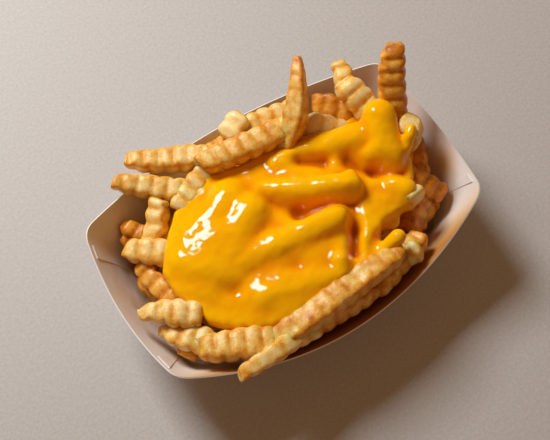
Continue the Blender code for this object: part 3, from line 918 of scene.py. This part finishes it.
# %% Creases in millimetres: start, end, depth at the start and at the end, width
CREASES = (
    ((-4, 10), (5, -5), 1.2, 3.6, 4.8),
    ((5, -5), (27, -13), 4.5, 3.5, 4.5),
    ((-28, -20), (-11, -27), 0.8, 1.2, 6.0),
    ((-11, -27), (3, -33), 1.2, 1.2, 6.0),
    ((20, 17), (29, 10), 4.5, 4.5, 4.0),
    ((39, 4), (47, -6), 3.6, 4.2, 4.5),
    ((47, -6), (58, -15), 4.2, 2.0, 3.6),
    ((-4, 4), (-12, -3), 0.8, 0.3, 6.0),
    ((31, -14), (23, -26), 1.6, 3.0, 3.4),
    ((23, -26), (16, -36), 4.0, 6.5, 3.4),
    ((-61, -1), (-43, -21), 1.0, 1.5, 5.0),
)
CREASE_REACH = 2.5          # in crease widths
CREASE_FALL = 1.4


def smooth_points(bm, factor, rounds):
    for turn in range(rounds):
        bmesh.ops.smooth_vert(bm, verts=bm.verts, factor=factor, use_axis_x=True,
                              use_axis_y=True, use_axis_z=True)


def press_creases(piece):
    """Lower the upper skin along every crease, then round it off."""
    bm = bmesh.new()
    bm.from_mesh(piece.data)
    bm.normal_update()
    for start, end, start_depth, end_depth, width in CREASES:
        start, end = mm(start), mm(end)
        line = end - start
        for vert in bm.verts:
            if vert.normal.z < 0.0:
                continue
            share = max(0.0, min(1.0, (vert.co.xy - start).dot(line) / line.length_squared))
            away = (vert.co.xy - start.lerp(end, share)).length / (width * MM)
            if away < CREASE_REACH:
                depth = start_depth + (end_depth - start_depth) * share
                vert.co.z -= depth * MM * math.exp(-CREASE_FALL * away * away)
    smooth_points(bm, 0.5, 4)
    bm.to_mesh(piece.data)
    bm.free()


press_creases(sauce)
print("pressed", len(CREASES), "creases")


# %% [markdown]
# A valley is a place that lies below the average of what is round it. A copy of the sauce
# is smoothed a great deal, and how far each point lies under that copy, along its normal,
# is kept on the skin as its valley_shade attribute. It is painted shade: it steers the colour
# from yellow to a darker orange in the valleys.

# %% Measure the valleys for the painted shade
LEVEL_SKIN = 0.25           # what a place that is neither hill nor valley gets


def paint_valley_shade(piece, rounds=40, deepest=1.6 * MM):
    """Painted shade from 0 on a hill to 1 in the deepest kind of hollow."""
    bm = bmesh.new()
    bm.from_mesh(piece.data)
    bm.normal_update()
    places = [vert.co.copy() for vert in bm.verts]
    normals = [vert.normal.copy() for vert in bm.verts]
    smooth_points(bm, 1.0, rounds)
    depth = [(vert.co - place).dot(normal) / deepest
             for vert, place, normal in zip(bm.verts, places, normals)]
    bm.free()
    valley_shade = piece.data.attributes.new("valley_shade", "FLOAT", "POINT")
    valley_shade.data.foreach_set("value", [
        max(0.0, min(1.0, LEVEL_SKIN + (1.0 - LEVEL_SKIN) * d)) for d in depth])
    print("deepest valley in mm", round(max(depth) * deepest / MM, 2))


paint_valley_shade(sauce)
sauce.data.shade_smooth()


# %% [markdown]
# ## Table, light and camera
# The tray stands on a plain pale table top, which is only a stage. One soft square lamp high
# at the far side gives the window-like reflections on the sauce and a soft shadow towards
# the near right. The surround is dim and warm, so the shadows are brown and never black, as
# light comes back from a wooden room. The camera looks down steeply with a short telephoto
# lens, as the photograph was taken. The plain Standard view keeps the sauce's full yellow,
# which a filmic view would wash out.

# %% Table top
floor_bm = bmesh.new()
bmesh.ops.create_grid(floor_bm, x_segments=1, y_segments=1, size=3.0)
floor_mesh = bpy.data.meshes.new("table_top")
floor_bm.to_mesh(floor_mesh)
floor_bm.free()
floor = bpy.data.objects.new("table_top", floor_mesh)
bpy.context.scene.collection.objects.link(floor)
laminate, laminate_tree, laminate_shader, laminate_place = start_material("matt_laminate")
speckle = noise_of_size(laminate_tree, laminate_place, 1.6, 4.0, 0.7)
laminate_colour = ramp_between(laminate_tree, speckle, ((0.3, "#B2ACA7"), (0.7, "#C4BEB9")))
laminate_tree.links.new(laminate_colour, laminate_shader.inputs["Base Color"])
laminate_shader.inputs["Roughness"].default_value = 0.6
floor_mesh.materials.append(laminate)
print("table top", floor.name)

# %% Lamp and surround
LAMP_DIRECTION = Vector((-0.139, 0.654, 0.743))
LAMP_SIZE = 0.34
LAMP_ENERGY = 10.0
LAMP_COLOUR = (0.93, 0.98, 1.0)
SURROUND_COLOUR = (1.0, 0.54, 0.25, 1.0)
SURROUND_STRENGTH = 0.235

lamp_data = bpy.data.lights.new("main_soft_lamp", "AREA")
lamp_data.shape = "SQUARE"
lamp_data.size = LAMP_SIZE
lamp_data.energy = LAMP_ENERGY
lamp_data.color = LAMP_COLOUR
lamp = bpy.data.objects.new("main_soft_lamp", lamp_data)
lamp.location = LAMP_DIRECTION.normalized()
lamp.rotation_euler = (-LAMP_DIRECTION).to_track_quat("-Z", "Y").to_euler()
bpy.context.scene.collection.objects.link(lamp)

surround = bpy.data.worlds.new("warm_surround")
surround.use_nodes = True
sky = surround.node_tree.nodes["Background"]
sky.inputs["Color"].default_value = SURROUND_COLOUR
sky.inputs["Strength"].default_value = SURROUND_STRENGTH
bpy.context.scene.world = surround
bpy.context.scene.view_settings.view_transform = "Standard"
print("lamp", lamp_data.size, "m across, a metre away")

# %% Camera
CAMERA_PLACE = Vector((-0.1203, -0.1766, 0.5291))
LOOK_AT = Vector((0.0050, 0.0164, 0.0))
LENS = 72.0

camera_data = bpy.data.cameras.new("camera")
camera_data.lens = LENS
camera_data.sensor_width = 36.0
camera = bpy.data.objects.new("camera", camera_data)
camera.location = CAMERA_PLACE
camera.rotation_euler = (LOOK_AT - CAMERA_PLACE).to_track_quat("-Z", "Y").to_euler()
bpy.context.scene.collection.objects.link(camera)
bpy.context.scene.camera = camera
print("camera", [round(value, 4) for value in camera.location])
